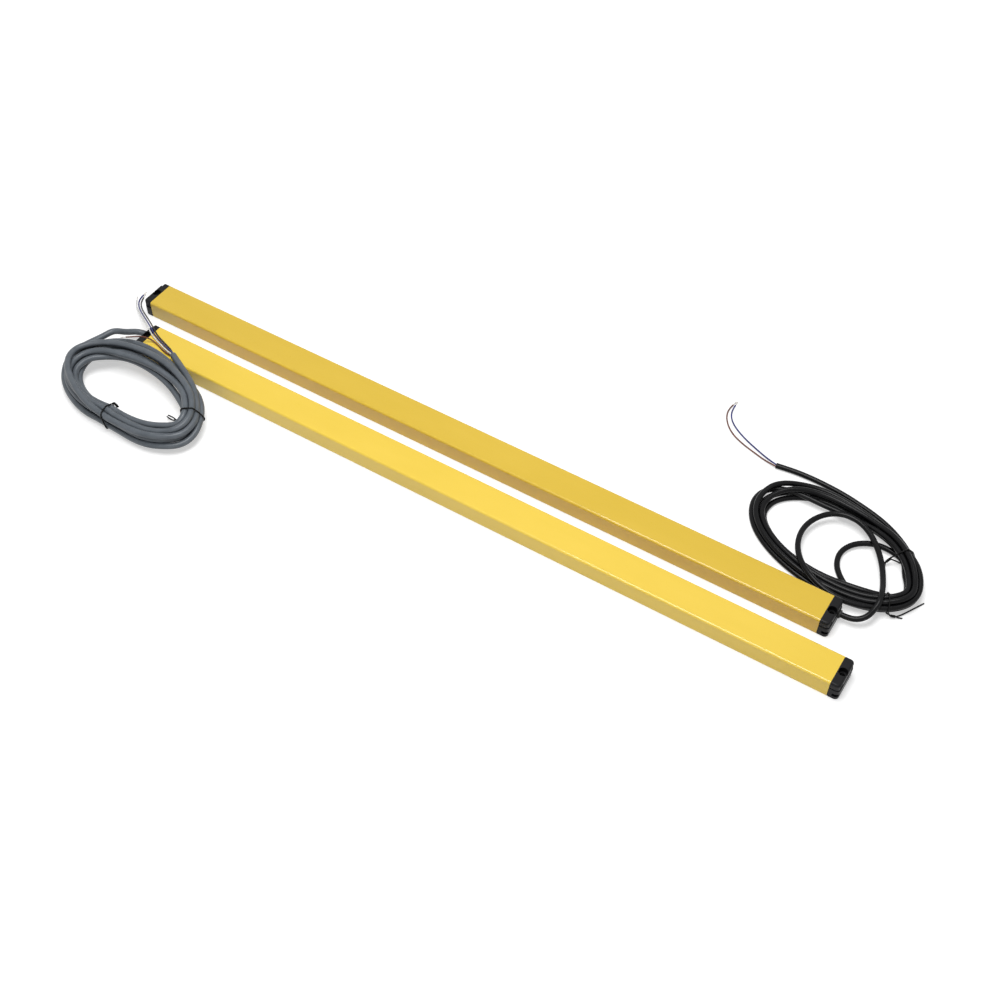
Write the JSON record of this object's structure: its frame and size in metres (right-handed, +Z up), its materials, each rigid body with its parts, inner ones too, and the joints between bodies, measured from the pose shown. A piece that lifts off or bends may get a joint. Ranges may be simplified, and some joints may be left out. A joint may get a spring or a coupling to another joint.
{
  "type": "safety light curtain",
  "caption": "Slim emitter and receiver bars of a light curtain, yellow profiles with black end caps, each with its own coiled cable.",
  "frame": {"origin": "on the floor under the middle of the pair of bars, cables left out", "axes": "+X along the bars, +Y across them from the receiver to the emitter, +Z up, away from the windows"},
  "size_m": [0.8123, 0.3491, 0.0335],
  "materials": {
    "yellow_profile": "yellow powder coat on extruded aluminium",
    "red_window": "smoked red window",
    "gasket_rubber": "foam rubber",
    "black_moulding": "moulded black nylon",
    "zinc_screw": "zinc plated",
    "gland_rubber": "moulded rubber",
    "board_laminate": "green solder mask",
    "optics_moulding": "black moulding",
    "clear_lens": "clear lens plastic",
    "lamp_lens": "tinted lamp",
    "diode_resin": "dark resin",
    "chip_resin": "black resin",
    "connector_nylon": "pale nylon",
    "wire_insulation": "thin insulation",
    "tie_plastic": "black plastic over wire",
    "core_blue": "blue insulation",
    "core_brown": "brown insulation",
    "core_black": "black insulation",
    "core_white": "white insulation",
    "black_jacket": "black PVC jacket",
    "grey_jacket": "grey PVC jacket"
  },
  "bodies": {
    "root": {"emitter_housing": "yellow_profile", "emitter_front_window": "red_window", "emitter_plain_gasket": "gasket_rubber", "emitter_plain_end_cap": "black_moulding", "emitter_cable_gasket": "gasket_rubber", "emitter_cable_end_cap": "black_moulding", "emitter_cap_screws": "zinc_screw", "emitter_cable_gland": "gland_rubber", "emitter_circuit_board": "board_laminate", "emitter_optics_holder": "optics_moulding", "emitter_lens_strip": "clear_lens", "emitter_indicator_lamps": "lamp_lens", "emitter_control_chips": "chip_resin", "emitter_board_connector": "connector_nylon", "emitter_inner_wires": "wire_insulation", "receiver_housing": "yellow_profile", "receiver_front_window": "red_window", "receiver_plain_gasket": "gasket_rubber", "receiver_plain_end_cap": "black_moulding", "receiver_cable_gasket": "gasket_rubber", "receiver_cable_end_cap": "black_moulding", "receiver_cap_screws": "zinc_screw", "receiver_cable_gland": "gland_rubber", "receiver_circuit_board": "board_laminate", "receiver_optics_holder": "optics_moulding", "receiver_lens_strip": "clear_lens", "receiver_indicator_lamps": "lamp_lens", "receiver_control_chips": "chip_resin", "receiver_board_connector": "connector_nylon", "receiver_inner_wires": "wire_insulation", "emitter_infrared_diodes": "diode_resin", "receiver_photo_diodes": "diode_resin", "emitter_cable_lead": "black_jacket", "emitter_cable_coil": "black_jacket", "emitter_cable_tail": "black_jacket", "emitter_cable_tie_1": "tie_plastic", "emitter_cable_tie_2": "tie_plastic", "receiver_cable_lead": "grey_jacket", "receiver_cable_coil": "grey_jacket", "receiver_cable_tail": "grey_jacket", "receiver_cable_tie_1": "tie_plastic", "receiver_cable_tie_2": "tie_plastic", "emitter_cable_loop": "black_jacket", "emitter_core_blue": "core_blue", "emitter_core_brown": "core_brown", "receiver_core_blue": "core_blue", "receiver_core_black": "core_black", "receiver_core_brown": "core_brown", "receiver_core_white": "core_white"}
  },
  "joints": []
}
